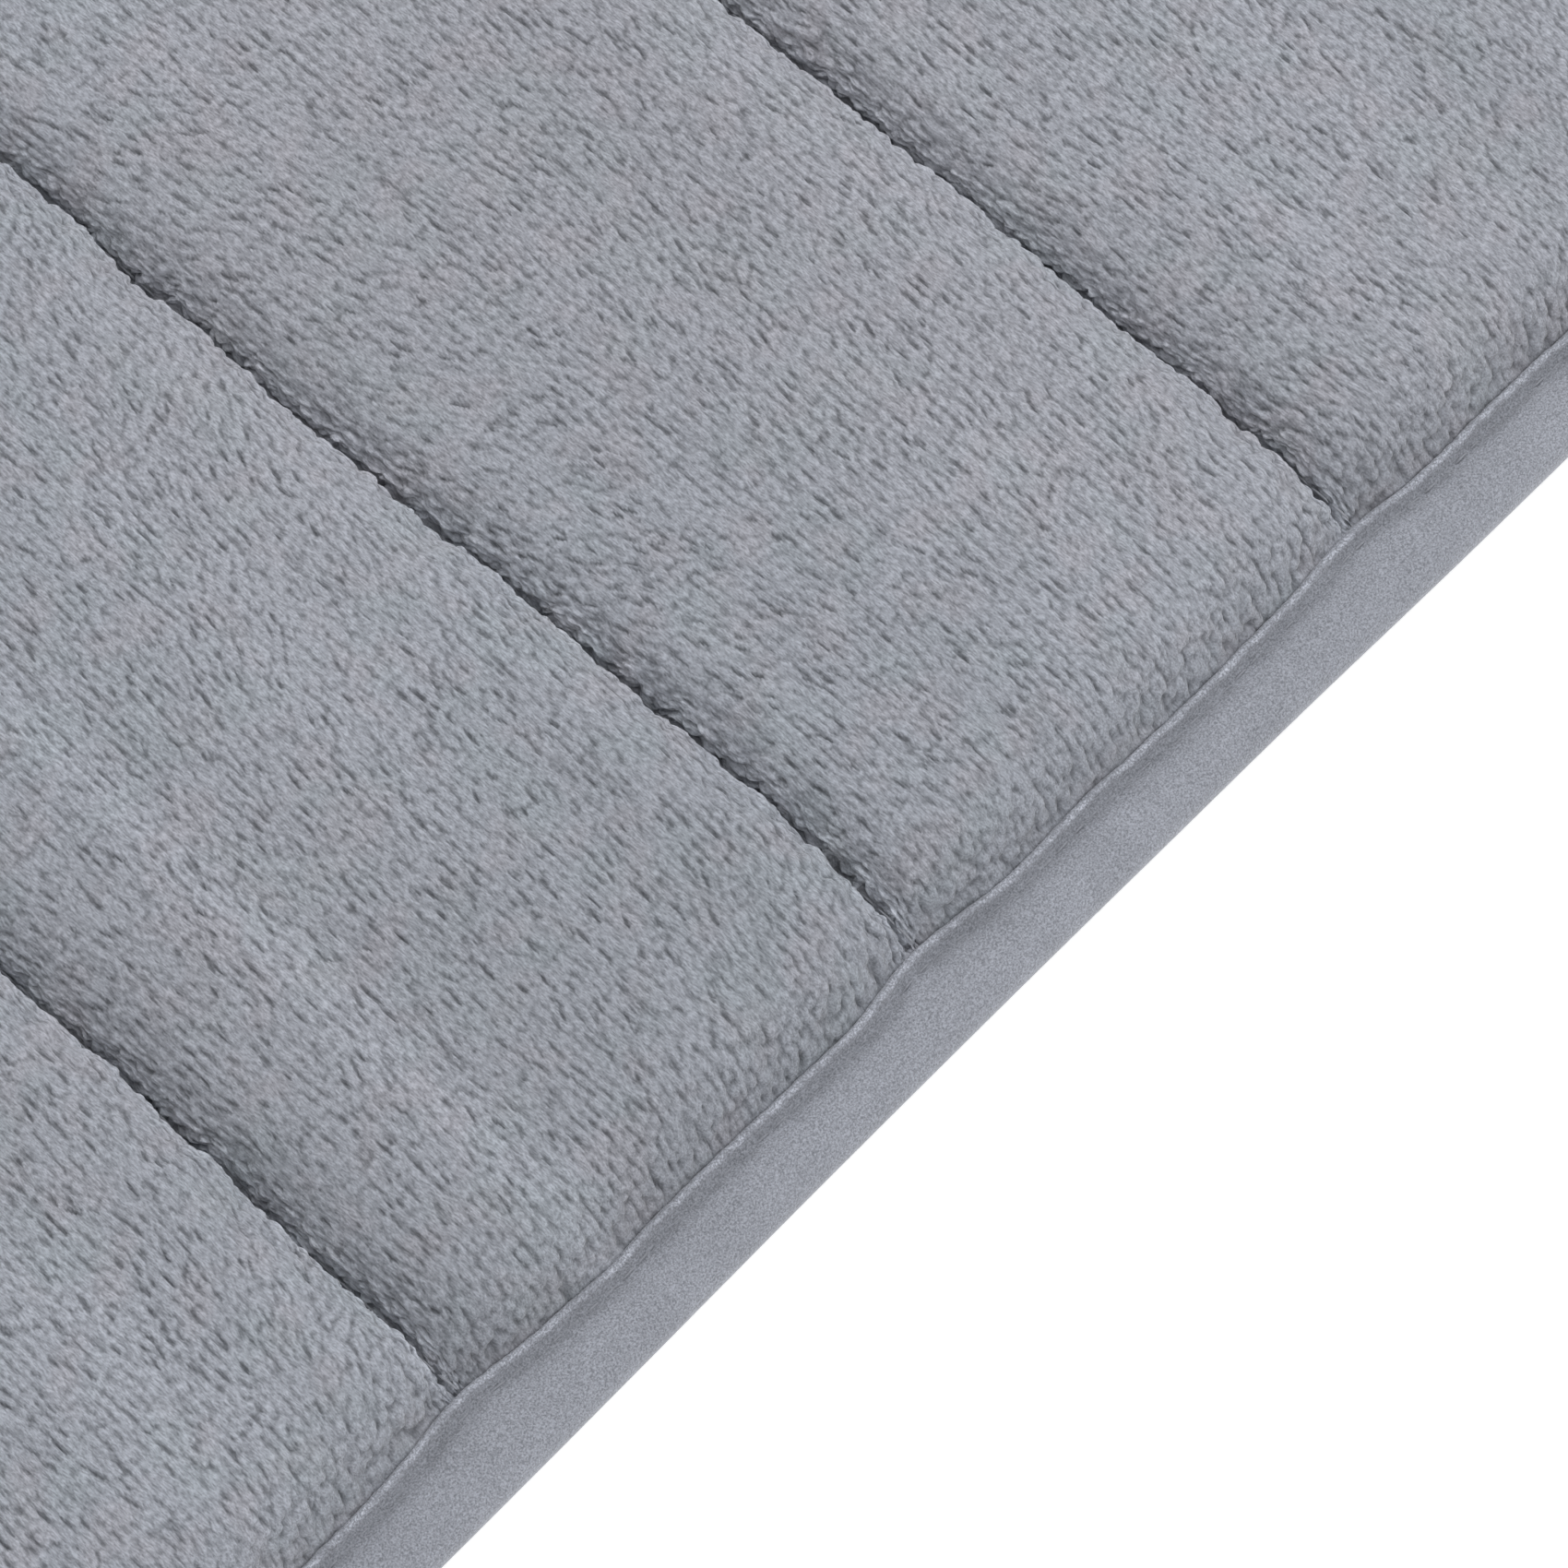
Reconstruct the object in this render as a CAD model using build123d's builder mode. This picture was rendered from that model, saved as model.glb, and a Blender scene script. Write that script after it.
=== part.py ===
"""Quilted foam bath mat: a plush cover, a foam core and a gripping back, bound round the edge with tape.

The mat lies on the XY plane with its length along X. The origin is at the middle of its underside, and +Z
points up through the pile. Seams run across it, along Y, and press the foam down to a thin margin, so that
the pile rises between them in padded panels. The same pressed margin runs round the edge, inside the
folded tape.
"""
import os

from build123d import *

os.makedirs("parts", exist_ok=True)

# Overall size, in millimetres.
mat_length = 600.0
mat_width = 400.0
corner_radius = 28.0

# Thickness of each layer, from the back to the pile.
backing_thickness = 0.6
foam_thickness = 12.0
pressed_foam_thickness = 2.4
pile_thickness = 3.0
pressed_pile_thickness = 2.0

# The seams that divide the mat into panels.
panel_count = 7
shoulder_radius = 9.0
crease_gap = 0.6
thread_diameter = 0.4

# The binding tape, folded over the edge.
tape_thickness = 0.8
tape_top_reach = 11.25
tape_under_reach = 13.0
tape_upper_bend = 2.6
tape_lower_bend = 1.2
seam_to_tape_edge = 2.3
stitch_valley_radius = 0.5

# Clearances between neighbouring pieces.
pile_to_tape = 0.3
grip_to_tape = 0.5
thread_clearance = 0.02
thread_slot_clearance = 0.2
thread_end_clearance = 0.5

# Heights. The tape's under flap and the grip field are equally thick, so both rest on the floor.
backing_bottom = tape_thickness
foam_bottom = backing_bottom + backing_thickness
margin_foam_top = foam_bottom + pressed_foam_thickness
margin_pile_top = margin_foam_top + pressed_pile_thickness
edge_top = margin_pile_top + tape_thickness
foam_top = foam_bottom + foam_thickness
pile_top = foam_top + pile_thickness

# Insets from the mat's outline.
pile_inset = tape_top_reach + pile_to_tape
foam_inset = pile_inset + pile_thickness
grip_inset = tape_under_reach + grip_to_tape
binding_seam_inset = tape_top_reach - seam_to_tape_edge

# A panel's rounded shoulder stays lower than the pile's wall above the margin.
straight_wall = 1.0
pile_shoulder = min(shoulder_radius, pile_top - margin_pile_top - straight_wall)
foam_shoulder = pile_shoulder - pile_thickness

# The seams are evenly spaced, and the two outer panels are as wide as the others.
panel_pitch = (mat_length - 2 * pile_inset + crease_gap) / panel_count
seam_places = [(index - panel_count / 2) * panel_pitch for index in range(1, panel_count)]

thread_radius = thread_diameter / 2


def mat_plate(inset, bottom, top, mode=Mode.ADD):
    """Raise a flat layer between two heights, its outline that of the mat moved inwards all round."""
    with BuildSketch(Plane.XY.offset(bottom)) as outline:
        RectangleRounded(mat_length - 2 * inset, mat_width - 2 * inset, corner_radius - inset)
    extrude(outline.sketch, amount=top - bottom, mode=mode)


def round_top_rim(radius):
    """Round over the edges of the highest face."""
    fillet(faces().sort_by(Axis.Z)[-1].edges(), radius=radius)


def seam_groove(place, half_gap, bottom, top, shoulder):
    """Cut one seam's groove across the mat: a narrow slit between two rounded shoulders."""
    headroom = 1.0
    with BuildSketch(Plane.XZ.move(Location((place, 0, 0)))) as groove:
        with BuildLine():
            slit_floor = Line((0, bottom), (half_gap, bottom))
            wall = Line(slit_floor @ 1, (half_gap, top - shoulder))
            rounded = TangentArc(wall @ 1, (half_gap + shoulder, top), tangent=(0, 1))
            Polyline(rounded @ 1, (half_gap + shoulder, top + headroom), (0, top + headroom))
            mirror(about=Plane.YZ)
        make_face()
    extrude(groove.sketch, amount=mat_width / 2, both=True, mode=Mode.SUBTRACT)


def edge_cord(inset, height, radius, mode=Mode.ADD):
    """Sweep a round section all round the mat, at one inset from its outline."""
    half_length = mat_length / 2 - inset
    half_width = mat_width / 2 - inset
    corners = [
        (-half_length, -half_width, height),
        (half_length, -half_width, height),
        (half_length, half_width, height),
        (-half_length, half_width, height),
    ]
    with BuildLine() as loop:
        FilletPolyline(*corners, radius=corner_radius - inset, close=True)
    with BuildSketch(Plane(origin=loop.line @ 0, z_dir=loop.line % 0)) as section:
        Circle(radius)
    sweep(section.sketch, path=loop.line, mode=mode)


def seam_thread(place, height, end_inset):
    """Lay one straight thread along a seam, between the two long edges."""
    with BuildSketch(Plane.XZ) as section:
        with Locations((place, height)):
            Circle(thread_radius)
    extrude(section.sketch, amount=mat_width / 2 - end_inset - thread_end_clearance, both=True)


def save(part, name):
    """Label one finished piece and write it to its own file."""
    part.label = name
    export_step(part, f"parts/{name}.step")


# The backing fabric reaches out to the fold of the tape.
with BuildPart() as backing_fabric:
    mat_plate(tape_thickness, backing_bottom, foam_bottom)
save(backing_fabric.part, "backing_fabric")

# The foam core is one sheet, pressed thin at the seams and round the edge.
with BuildPart() as foam_core:
    mat_plate(tape_thickness, foam_bottom, margin_foam_top)
    mat_plate(foam_inset, foam_bottom, foam_top)
    round_top_rim(foam_shoulder)
    for seam_place in seam_places:
        seam_groove(seam_place, crease_gap / 2 + pile_thickness, margin_foam_top, foam_top, foam_shoulder)
save(foam_core.part, "foam_core")

# The plush cover lies on the foam, lines both sides of every groove and runs out under the tape.
with BuildPart() as top_cover:
    mat_plate(tape_thickness, margin_foam_top, margin_pile_top)
    round_top_rim(tape_upper_bend - tape_thickness)
    mat_plate(pile_inset, margin_foam_top, pile_top)
    round_top_rim(pile_shoulder)
    for seam_place in seam_places:
        seam_groove(seam_place, crease_gap / 2, margin_pile_top, pile_top, pile_shoulder)
    add(foam_core.part, mode=Mode.SUBTRACT)
save(top_cover.part, "top_cover")

# The binding tape wraps the pressed edges of all three layers. Its stitches lie sunk in a shallow valley,
# above and below.
with BuildPart() as edge_binding:
    mat_plate(0, 0, edge_top)
    round_top_rim(tape_upper_bend)
    fillet(faces().sort_by(Axis.Z)[0].edges(), radius=tape_lower_bend)
    mat_plate(tape_top_reach, margin_pile_top, edge_top, mode=Mode.SUBTRACT)
    mat_plate(tape_under_reach, 0, backing_bottom, mode=Mode.SUBTRACT)
    for layer in (backing_fabric, foam_core, top_cover):
        add(layer.part, mode=Mode.SUBTRACT)
    edge_cord(binding_seam_inset, edge_top, stitch_valley_radius, mode=Mode.SUBTRACT)
    edge_cord(binding_seam_inset, 0, stitch_valley_radius, mode=Mode.SUBTRACT)
save(edge_binding.part, "edge_binding")

# The grip field fills the back inside the tape, with a slot for each seam's lower thread.
with BuildPart() as grip_field:
    mat_plate(grip_inset, 0, backing_bottom)
    with BuildSketch(Plane.XZ):
        with Locations(*[(seam_place, backing_bottom) for seam_place in seam_places]):
            Rectangle(thread_diameter + thread_slot_clearance, 2 * thread_diameter + thread_slot_clearance)
    extrude(amount=mat_width / 2, both=True, mode=Mode.SUBTRACT)
save(grip_field.part, "grip_field")

# The two threads of the binding's lockstitch, each lying in its valley.
thread_depth = stitch_valley_radius - thread_radius - thread_clearance
with BuildPart() as binding_needle_thread:
    edge_cord(binding_seam_inset, edge_top - thread_depth, thread_radius)
save(binding_needle_thread.part, "binding_needle_thread")

with BuildPart() as binding_bobbin_thread:
    edge_cord(binding_seam_inset, thread_depth, thread_radius)
save(binding_bobbin_thread.part, "binding_bobbin_thread")

# The two threads of each quilting seam: one at the bottom of the crease, one against the backing.
for seam_number, seam_place in enumerate(seam_places, start=1):
    with BuildPart() as quilt_needle_thread:
        seam_thread(seam_place, margin_pile_top + thread_radius + thread_clearance, pile_inset)
    save(quilt_needle_thread.part, f"quilt_needle_thread_{seam_number}")

    with BuildPart() as quilt_bobbin_thread:
        seam_thread(seam_place, backing_bottom - thread_radius - thread_clearance, grip_inset)
    save(quilt_bobbin_thread.part, f"quilt_bobbin_thread_{seam_number}")
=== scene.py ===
"""The quilted bath mat: plush cover, foam core, backing with grip dots, edge binding and their stitches.

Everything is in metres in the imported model's frame: the mat's length along X, its seams along Y, the floor
at z = 0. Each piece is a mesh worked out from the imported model's boxes and the sizes named below.
"""
import math

import bpy
import numpy as np
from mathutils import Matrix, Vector


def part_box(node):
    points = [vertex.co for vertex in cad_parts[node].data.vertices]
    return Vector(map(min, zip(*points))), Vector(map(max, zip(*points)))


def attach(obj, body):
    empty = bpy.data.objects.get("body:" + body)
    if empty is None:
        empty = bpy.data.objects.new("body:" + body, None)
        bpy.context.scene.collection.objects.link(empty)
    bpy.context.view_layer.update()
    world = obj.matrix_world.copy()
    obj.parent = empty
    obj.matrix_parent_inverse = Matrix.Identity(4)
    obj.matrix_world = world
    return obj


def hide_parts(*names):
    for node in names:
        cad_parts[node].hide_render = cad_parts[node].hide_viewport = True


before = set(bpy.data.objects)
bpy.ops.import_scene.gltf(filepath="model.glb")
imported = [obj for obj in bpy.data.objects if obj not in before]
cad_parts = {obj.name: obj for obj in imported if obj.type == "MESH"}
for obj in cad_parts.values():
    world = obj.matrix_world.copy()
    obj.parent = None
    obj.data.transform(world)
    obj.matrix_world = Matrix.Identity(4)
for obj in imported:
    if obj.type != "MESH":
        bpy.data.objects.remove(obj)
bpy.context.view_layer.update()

MM = 0.001

# ---------------------------------------------------------------------------------------------------------
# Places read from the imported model
# ---------------------------------------------------------------------------------------------------------
tape_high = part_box("edge_binding")[1]
cover_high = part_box("top_cover")[1]
backing_low, backing_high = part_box("backing_fabric")
foam_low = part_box("foam_core")[0]
needle_nodes = sorted(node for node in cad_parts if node.startswith("quilt_needle_thread"))
bobbin_nodes = sorted(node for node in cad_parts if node.startswith("quilt_bobbin_thread"))
seam_places = sorted((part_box(node)[0].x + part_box(node)[1].x) / 2 for node in needle_nodes)

half_length = tape_high.x
half_width = tape_high.y
cover_reach = half_length - cover_high.x
pile_top = cover_high.z
margin_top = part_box(needle_nodes[0])[0].z
thread_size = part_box(needle_nodes[0])[1].z - margin_top
binding_seam_inset = half_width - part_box("binding_needle_thread")[1].y + thread_size / 2
panel_pitch = seam_places[1] - seam_places[0]

# Sizes that the boxes don't give.
CORNER_RADIUS = 28 * MM
TAPE_REACH = 11.25 * MM
TAPE_UNDER_REACH = 13 * MM
SHOULDER = 9 * MM
CREASE_HALF_GAP = 0.3 * MM


# ---------------------------------------------------------------------------------------------------------
# Noise and mesh helpers
# ---------------------------------------------------------------------------------------------------------
def soft_noise(x, y, cell_x, cell_y, seed):
    """Smooth noise from -1 to 1 over a plane, with one random value to each cell."""
    x, y = np.broadcast_arrays(np.asarray(x, float) / cell_x, np.asarray(y, float) / cell_y)
    column, row = np.floor(x).astype(int), np.floor(y).astype(int)
    first_column, first_row = column.min(), row.min()
    size = (row.max() - first_row + 2, column.max() - first_column + 2)
    values = np.random.default_rng(seed).uniform(-1, 1, size)
    u, v = x - column, y - row
    u, v = u * u * (3 - 2 * u), v * v * (3 - 2 * v)
    column, row = column - first_column, row - first_row
    low = values[row, column] * (1 - u) + values[row, column + 1] * u
    high = values[row + 1, column] * (1 - u) + values[row + 1, column + 1] * u
    return low * (1 - v) + high * v


def loop_noise(place, length, cells, seed):
    """Smooth noise from -1 to 1 along a closed loop, so that its ends meet."""
    values = np.random.default_rng(seed).uniform(-1, 1, cells)
    spot = place / length * cells
    cell = np.floor(spot).astype(int)
    u = spot - cell
    u = u * u * (3 - 2 * u)
    return values[cell % cells] * (1 - u) + values[(cell + 1) % cells] * u


def ease(value, low, high):
    """0 below low, 1 above high, and smooth between."""
    share = np.clip((value - low) / (high - low), 0, 1)
    return share * share * (3 - 2 * share)


def smooth_curve(points, samples):
    """A Catmull-Rom curve through points, with an even number of samples to each span."""
    points = np.array(points, float)
    padded = np.concatenate([[2 * points[0] - points[1]], points, [2 * points[-1] - points[-2]]])
    u = np.linspace(0, 1, samples, endpoint=False)[:, None]
    spans = []
    for a, b, c, d in zip(padded, padded[1:], padded[2:], padded[3:]):
        bend = 2 * a - 5 * b + 4 * c - d
        twist = 3 * b - a - 3 * c + d
        spans.append(b + 0.5 * u * (c - a + u * (bend + u * twist)))
    return np.concatenate([*spans, points[-1:]])


def grid_quads(rows, columns, first=0, close_rows=False, close_columns=False):
    """The quads of a grid of points that are numbered along its rows."""
    row = np.arange(rows if close_rows else rows - 1)
    column = np.arange(columns if close_columns else columns - 1)
    row, column = np.meshgrid(row, column, indexing="ij")
    next_row, next_column = (row + 1) % rows, (column + 1) % columns
    corners = [
        row * columns + column,
        row * columns + next_column,
        next_row * columns + next_column,
        next_row * columns + column,
    ]
    return np.stack(corners, -1).reshape(-1, 4) + first


def rim_indices(rows, columns, step=1, first=0):
    """The point numbers round a grid's rim, every step points, anticlockwise from its first corner."""
    index = np.arange(rows * columns).reshape(rows, columns) + first
    sides = [index[0, :-1], index[:-1, -1], index[-1, :0:-1], index[:0:-1, 0]]
    return np.concatenate([side[::step] for side in sides])


def rim_triangles(fine, coarse):
    """Triangles between a fine rim and a coarse one, where each coarse edge faces the same number of fine."""
    step = len(fine) // len(coarse)
    made = []
    for offset in range(step):
        a = fine[offset::step]
        b = np.roll(fine, -1)[offset::step]
        anchor = coarse if offset < step // 2 else np.roll(coarse, -1)
        made.append(np.stack([b, a, anchor], 1))
    middle = fine[step // 2::step]
    made.append(np.stack([middle, coarse, np.roll(coarse, -1)], 1))
    return np.concatenate(made)


def build_mesh(name, points, quads, triangles=None, uv=None):
    """A smooth-shaded mesh object made from arrays of points, quads and triangles."""
    points = np.asarray(points, np.float32).reshape(-1, 3)
    quads = np.asarray(quads, np.int32).reshape(-1, 4)
    triangles = np.zeros((0, 3), np.int32) if triangles is None else np.asarray(triangles, np.int32)
    corners = np.concatenate([quads.ravel(), triangles.ravel()])
    sizes = np.concatenate([np.full(len(quads), 4), np.full(len(triangles), 3)])
    starts = np.concatenate([[0], np.cumsum(sizes)[:-1]])
    mesh = bpy.data.meshes.new(name)
    mesh.vertices.add(len(points))
    mesh.vertices.foreach_set("co", points.ravel())
    mesh.loops.add(len(corners))
    mesh.loops.foreach_set("vertex_index", corners.astype(np.int32))
    mesh.polygons.add(len(sizes))
    mesh.polygons.foreach_set("loop_start", starts.astype(np.int32))
    mesh.polygons.foreach_set("use_smooth", np.ones(len(sizes), bool))
    mesh.update(calc_edges=True)
    if uv is not None:
        layer = mesh.uv_layers.new(name="OFBake")
        layer.data.foreach_set("uv", np.asarray(uv, np.float32).reshape(-1, 2)[corners].ravel())
    piece = bpy.data.objects.new(name, mesh)
    bpy.context.collection.objects.link(piece)
    return piece


def build_shell(name, top, under, step=1, uv=None):
    """A closed sheet: a grid of points above, a grid below with every step-th row and column, and a rim."""
    rows, columns = top.shape[:2]
    few_rows, few_columns = under.shape[:2]
    first = rows * columns
    points = np.concatenate([top.reshape(-1, 3), under.reshape(-1, 3)])
    quads = np.concatenate([grid_quads(rows, columns), grid_quads(few_rows, few_columns, first)[:, ::-1]])
    if step == 1:
        upper, lower = rim_indices(rows, columns), rim_indices(rows, columns, 1, first)
        rim = np.stack([np.roll(upper, -1), upper, lower, np.roll(lower, -1)], 1)
        return build_mesh(name, points, np.concatenate([quads, rim]), uv=uv)
    upper, lower = rim_indices(rows, columns), rim_indices(few_rows, few_columns, 1, first)
    return build_mesh(name, points, quads, rim_triangles(upper, lower), uv)


def paint(piece, name, values):
    """Store one number for each point of a piece, which its material reads."""
    attribute = piece.data.attributes.new(name, "FLOAT", "POINT")
    attribute.data.foreach_set("value", np.asarray(values, np.float32).ravel())


def place_piece(piece, material, slot, *nodes):
    """Give a piece its material, hang it from the root body, and hide the CAD nodes that it stands for."""
    piece.data.materials.append(material)
    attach(piece, "root")
    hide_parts(*nodes)


# ---------------------------------------------------------------------------------------------------------
# The shape that the quilting gives the mat
# ---------------------------------------------------------------------------------------------------------
CREASE_STEEPNESS = math.radians(81)
RIM_STEEPNESS = math.radians(62)
CROWN_RISE = 0.6 * MM
# How far the sheets' rims are drawn in, to stay covered where the tape's edge wanders inwards.
EDGE_ROOM = 1.0 * MM
# How far the tape's inner edge swings in where a seam runs into it.
SEAM_END_SWING = 1.3 * MM
# How far each panel's right shoulder leans over the crease beside it.
OVERHANG = 0.85 * MM
# The share of the pile's height that the creases' floors keep.
CREASE_FILL = 0.38
# How much further each panel sags on its left, beside the seam there.
PANEL_SAGS = (0.9 * MM, 1.7 * MM, 0.5 * MM, 0.35 * MM, 1.1 * MM, 0.7 * MM)
pile_height = pile_top - margin_top


def nearest_outline(x, y):
    """The point of the mat's rounded outline that lies nearest to each point near it."""
    inner_x, inner_y = half_length - CORNER_RADIUS, half_width - CORNER_RADIUS
    past_x, past_y = np.abs(x) - inner_x, np.abs(y) - inner_y
    corner = (past_x > 0) & (past_y > 0)
    reach = np.maximum(np.hypot(past_x, past_y), 1e-9)
    on_long_side = past_y > past_x
    side_x = np.where(on_long_side, np.abs(x), half_length)
    side_y = np.where(on_long_side, half_width, np.abs(y))
    near_x = np.where(corner, inner_x + CORNER_RADIUS * past_x / reach, side_x)
    near_y = np.where(corner, inner_y + CORNER_RADIUS * past_y / reach, side_y)
    return np.sign(x) * near_x, np.sign(y) * near_y


def ridge_wander(x, y):
    """How far the tape's inner edge strays inwards at an outline point: it swings in at each seam's end."""
    quick = soft_noise(x, y, 11 * MM, 11 * MM, 61) * 0.36 * MM
    slow = soft_noise(x, y, 43 * MM, 43 * MM, 62) * 0.3 * MM
    on_long_side = ease(np.abs(y), half_width - 3 * MM, half_width - 1 * MM)
    return quick + slow + seam_closeness(x, 9 * MM) * SEAM_END_SWING * on_long_side


def edge_distance(x, y, radius=CORNER_RADIUS):
    """How far a point lies inside the mat's rounded outline."""
    across = np.abs(x) - (half_length - radius)
    along = np.abs(y) - (half_width - radius)
    outside = np.hypot(np.maximum(across, 0), np.maximum(along, 0))
    return radius - outside - np.minimum(np.maximum(across, along), 0)


def drawn_in(x, y):
    """Sheet points moved a little inwards at the rim, so that the tape's wandering edge still covers them."""
    edge_x, edge_y = nearest_outline(x, y)
    distance = np.maximum(edge_distance(x, y), 0.1 * MM)
    share = EDGE_ROOM * np.exp(-((distance - cover_reach) / (4 * MM))) / distance
    return x + (x - edge_x) * share, y + (y - edge_y) * share


def shoulder_profile(steepness):
    """A wall and its rounded shoulder, as distances and heights from the foot up to the crown."""
    angles = np.linspace(steepness, 0, 60)
    arc_x = SHOULDER * (math.sin(steepness) - np.sin(angles))
    arc_z = pile_height - SHOULDER * (1 - np.cos(angles))
    wall = arc_z[0] / math.tan(steepness)
    return np.concatenate([[0], wall + arc_x]), np.concatenate([[0], arc_z])


crease_x, crease_z = shoulder_profile(CREASE_STEEPNESS)
rim_x, rim_z = shoulder_profile(RIM_STEEPNESS)


def cloth_line(half_span, seams, step, hidden_step, multiple):
    """Sample one axis evenly along the cloth as it climbs in and out of each crease.

    Returns each sample's place along the axis, its distance along the cloth from the middle, and the share
    of the full height that the creases leave it. Under the tape the samples lie further apart.
    """
    end = half_span - TAPE_REACH
    outer = half_span - cover_reach
    xs, zs, shares = [-outer], [0.0], [1.0]
    lefts = [-end] + [seam + CREASE_HALF_GAP for seam in seams]
    rights = [seam - CREASE_HALF_GAP for seam in seams] + [end]
    for index, (left, right) in enumerate(zip(lefts, rights)):
        at_left_rim, at_right_rim = index == 0, index == len(seams)
        left_x, left_z = (rim_x, rim_z) if at_left_rim else (crease_x, crease_z)
        right_x, right_z = (rim_x, rim_z) if at_right_rim else (crease_x, crease_z)
        xs += [*(left + left_x), *(right - right_x[::-1])]
        zs += [*left_z, *right_z[::-1]]
        shares += [*(left_z * 0 + 1 if at_left_rim else left_z / pile_height)]
        shares += [*(right_z * 0 + 1 if at_right_rim else right_z[::-1] / pile_height)]
    xs, zs, shares = np.array([*xs, outer]), np.array([*zs, 0.0]), np.array([*shares, 1.0])
    run = np.concatenate([[0], np.cumsum(np.hypot(np.diff(xs), np.diff(zs)))])
    hidden = TAPE_REACH - cover_reach - 1 * MM
    hidden_count = round(hidden / hidden_step)
    shown_count = round((run[-1] - 2 * hidden) / step / multiple) * multiple
    shown_count += -2 * hidden_count % multiple
    under_tape = np.linspace(0, hidden, hidden_count, endpoint=False)
    shown = np.linspace(hidden, run[-1] - hidden, shown_count + 1)
    cloth = np.concatenate([under_tape, shown, run[-1] - under_tape[::-1]])
    return np.interp(cloth, run, xs), cloth - run[-1] / 2, np.interp(cloth, run, shares)


def round_corners(x, y, radius):
    """Move the points of a rectangular grid so that its corners are round."""
    past_x = np.maximum(np.abs(x) - (np.abs(x).max() - radius), 0)
    past_y = np.maximum(np.abs(y) - (np.abs(y).max() - radius), 0)
    diagonal = np.maximum(np.hypot(past_x, past_y), 1e-9)
    pull = 1 - np.maximum(past_x, past_y) / diagonal
    pull = np.where(np.minimum(past_x, past_y) > 0, pull, 0)
    return x - np.sign(x) * past_x * pull, y - np.sign(y) * past_y * pull


def seam_wave(y, number):
    """How far one seam strays sideways from its straight line."""
    slow = soft_noise(y, 0, 75 * MM, 1, 10 + number) * 1.0 * MM
    quick = soft_noise(y, 0, 7 * MM, 1, 30 + number) * 0.28 * MM
    return slow + quick


def seam_closeness(x, spread):
    """1 on a seam, fading to 0 at about twice spread from it."""
    near = np.min([np.abs(x - seam) for seam in seam_places], axis=0)
    return np.exp(-((near / spread) ** 2))


def seam_pull(x, y, raised):
    """How far the seams shift the pile sideways and sag it. Raised is its share of the full height."""
    shift, sag = 0.0, 0.0
    fray = 1 + 0.45 * soft_noise(x, y, 50 * MM, 6 * MM, 9) + 0.25 * soft_noise(x, y, 50 * MM, 2.2 * MM, 19)
    for number, seam in enumerate(seam_places):
        away = x - seam
        panel_sag = PANEL_SAGS[number % len(PANEL_SAGS)]
        shift = shift + seam_wave(y, number) * np.exp(-((away / (20 * MM)) ** 2))
        leaning = ease(raised, 0.05, 0.40) * np.exp(-((away / (6 * MM)) ** 2)) * (away < 0)
        shift = shift + OVERHANG * fray * leaning
        sag = sag + panel_sag * np.exp(-((away / (14 * MM)) ** 2)) * (away > 0)
        crest = panel_sag * 0.25 * np.exp(-(((away - 24 * MM) / (4 * MM)) ** 2))
        sag = sag - crest
    return shift, sag


def quilted_surface(x, y, shares):
    """The smooth surface of the quilted pile over a grid of points, without its tufts."""
    depth = edge_distance(x, y) - TAPE_REACH - ridge_wander(*nearest_outline(x, y))
    rim_share = np.interp(depth + 0.55 * MM, rim_x, rim_z / pile_height)
    panel_place = (x - seam_places[0]) / panel_pitch % 1
    crown = CROWN_RISE * (4 * panel_place * (1 - panel_place) - 0.5)
    lumps = soft_noise(x, y, 34 * MM, 46 * MM, 3) * 0.30 * MM
    lumps = lumps + soft_noise(x, y, 15 * MM, 19 * MM, 4) * 0.14 * MM
    folds = soft_noise(x, y, 13 * MM, 85 * MM, 7) * 0.22 * MM
    dimples = soft_noise(x, y, 60 * MM, 9 * MM, 5) * 0.55 * MM * seam_closeness(x, 9 * MM)
    filled = CREASE_FILL * (1 + 0.4 * soft_noise(x, y, 50 * MM, 3.0 * MM, 29))
    rise = pile_height * (filled + (1 - filled) * shares) * rim_share
    shift, sag = seam_pull(x, y, shares * rim_share)
    height = margin_top + rise + (crown + lumps + folds + dimples - sag) * (rise / pile_height)
    under_tape = ease(-depth, 0.3 * MM, 1.4 * MM)
    return np.stack([x + shift, y, height - 0.55 * MM * under_tape], -1)


def grid_normals(points):
    """Unit normals of a grid of points, from the differences along its rows and columns."""
    normals = np.cross(np.gradient(points, axis=1), np.gradient(points, axis=0))
    return normals / np.maximum(np.linalg.norm(normals, axis=2, keepdims=True), 1e-12)


# ---------------------------------------------------------------------------------------------------------
# The plush cover
# ---------------------------------------------------------------------------------------------------------
PILE_STEP_ACROSS = 0.28 * MM
PILE_STEP_ALONG = 0.52 * MM
UNDER_STEP = 8
# Pitch and half size of the tufts, the cracks between them, the clumps they gather in, and the tufts that
# stand in a crease, each across and along the panels.
TUFT_PITCH, TUFT_HALF_SIZE = (1.33 * MM, 2.1 * MM), (0.77 * MM, 1.65 * MM)
CRACK_PITCH, CRACK_HALF_SIZE = (1.33 * MM, 2.3 * MM), (0.26 * MM, 1.35 * MM)
CLUMP_PITCH, CLUMP_HALF_SIZE = (2.0 * MM, 2.3 * MM), (1.2 * MM, 1.5 * MM)
SEAM_TUFT_PITCH, SEAM_TUFT_HALF_SIZE = (1.2 * MM, 1.7 * MM), (0.62 * MM, 1.1 * MM)
TUFT_RELIEF = 0.29 * MM
CRACK_DEPTH = 0.38 * MM
CLUMP_RELIEF = 0.9 * MM
SEAM_TUFT_RELIEF = 0.75 * MM
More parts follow.
